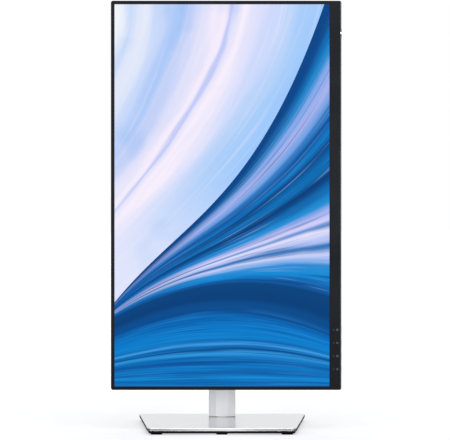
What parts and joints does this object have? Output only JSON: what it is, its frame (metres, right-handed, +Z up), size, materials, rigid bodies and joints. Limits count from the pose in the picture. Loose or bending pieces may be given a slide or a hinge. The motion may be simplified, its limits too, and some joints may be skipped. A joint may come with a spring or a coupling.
{
  "type": "computer monitor",
  "caption": "Flat-panel desktop monitor in portrait, slim black bezel with a deeper chin, silver column stand and base; swivels, lifts, tilts and pivots.",
  "frame": {"origin": "on the desk, on the swivel axis of the stand", "axes": "+Z up, +X to the viewer's right, +Y away from the viewer; the screen faces -Y and its chin is at +X"},
  "size_m": [0.3185, 0.18, 0.5925],
  "materials": {
    "silver_paint": "satin",
    "silver_plastic": "satin",
    "black_plastic": "fine grain",
    "dark_plastic": "matt",
    "screen": "anti-glare, lit",
    "panel_glass": "anti-glare",
    "rubber": "matt",
    "plated_steel": "zinc plated",
    "bright_steel": "bright",
    "spring_steel": "blued",
    "cast_alloy": "as cast",
    "white_plastic": "plain",
    "clear_plastic": "clear",
    "led_lens": "lit",
    "circuit_board": "solder mask",
    "brass": "machined",
    "socket_metal": "tin plated",
    "socket_black": "plain"
  },
  "bodies": {
    "base": {"base_plate": "silver_paint", "base_tray": "black_plastic", "base_weight": "plated_steel", "rubber_feet": "rubber", "tray_screws": "bright_steel"},
    "riser": {"riser_foot": "cast_alloy", "swivel_bearing": "white_plastic", "swivel_stop_pin": "bright_steel", "swivel_retainer": "plated_steel", "riser_screws": "bright_steel", "column_channel": "plated_steel", "riser_front_cover": "silver_plastic", "riser_rear_cover": "silver_plastic", "riser_top_cap": "silver_plastic", "cable_ring": "dark_plastic", "spring_strip": "spring_steel"},
    "carriage": {"carriage": "cast_alloy", "carriage_glides": "white_plastic", "drum_axle": "bright_steel", "lift_arm": "cast_alloy", "arm_screws": "bright_steel", "tilt_shaft": "bright_steel", "tilt_nuts": "bright_steel"},
    "spring_drum": {"spring_drum": "white_plastic", "spring_coil": "spring_steel"},
    "tilt_bracket": {"tilt_bracket": "plated_steel", "tilt_washers": "bright_steel", "hinge_cover": "dark_plastic"},
    "head": {"front_bezel": "black_plastic", "chin_cover": "black_plastic", "screen_film": "screen", "lcd_cell": "panel_glass", "panel_frame": "white_plastic", "diffuser_sheet": "clear_plastic", "light_guide": "clear_plastic", "reflector_sheet": "white_plastic", "led_strip": "circuit_board", "panel_chassis": "plated_steel", "source_board": "circuit_board", "main_board": "circuit_board", "power_board": "circuit_board", "vesa_bracket": "plated_steel", "vesa_inserts": "brass", "rear_cover": "silver_plastic", "head_screws": "bright_steel", "power_inlet": "socket_black", "display_sockets": "socket_metal", "usb_sockets": "socket_metal", "key_boards": "circuit_board", "power_led": "led_lens", "stand_plate": "plated_steel", "pivot_shaft": "plated_steel", "pivot_nut": "bright_steel"},
    "release_latch": {"latch_plate": "plated_steel", "release_button": "dark_plastic"},
    "power_key": {"power_key": "dark_plastic"},
    "function_key_1": {"function_key_1": "dark_plastic"},
    "function_key_2": {"function_key_2": "dark_plastic"},
    "function_key_3": {"function_key_3": "dark_plastic"},
    "function_key_4": {"function_key_4": "dark_plastic"}
  },
  "joints": [
    {"name": "swivel", "type": "hinge", "parent": "base", "child": "riser", "pos_m": [0, 0, 0.0093], "axis": [0, 0, 1], "range_deg": [-45, 45]},
    {"name": "height", "type": "slide", "parent": "riser", "child": "carriage", "axis": [0, 0, 1], "range_m": [-0.04, 0.015], "deforming": ["spring_strip"]},
    {"name": "spring_roll", "type": "hinge", "parent": "carriage", "child": "spring_drum", "pos_m": [0, 0.001, 0.291], "axis": [1, 0, 0], "range_deg": [-110, 292]},
    {"name": "tilt", "type": "hinge", "parent": "carriage", "child": "tilt_bracket", "pos_m": [0, -0.037, 0.324], "axis": [-1, 0, 0], "range_deg": [-5, 21]},
    {"name": "pivot", "type": "hinge", "parent": "tilt_bracket", "child": "head", "pos_m": [0, -0.0515, 0.324], "axis": [0, -1, 0], "range_deg": [-90, 0]},
    {"name": "release", "type": "slide", "parent": "head", "child": "release_latch", "axis": [1, 0, 0], "range_m": [0, 0.0035], "stiffness_N_per_m": 500, "springref_m": -0.002},
    {"name": "power_press", "type": "slide", "parent": "head", "child": "power_key", "axis": [-1, 0, 0], "range_m": [0, 0.0008], "stiffness_N_per_m": 600},
    {"name": "key_1_press", "type": "slide", "parent": "head", "child": "function_key_1", "axis": [-1, 0, 0], "range_m": [0, 0.0008], "stiffness_N_per_m": 600},
    {"name": "key_2_press", "type": "slide", "parent": "head", "child": "function_key_2", "axis": [-1, 0, 0], "range_m": [0, 0.0008], "stiffness_N_per_m": 600},
    {"name": "key_3_press", "type": "slide", "parent": "head", "child": "function_key_3", "axis": [-1, 0, 0], "range_m": [0, 0.0008], "stiffness_N_per_m": 600},
    {"name": "key_4_press", "type": "slide", "parent": "head", "child": "function_key_4", "axis": [-1, 0, 0], "range_m": [0, 0.0008], "stiffness_N_per_m": 600}
  ],
  "couplings": [
    {"joint": "spring_roll", "follows": "height", "rad_per_m": -126.58}
  ]
}
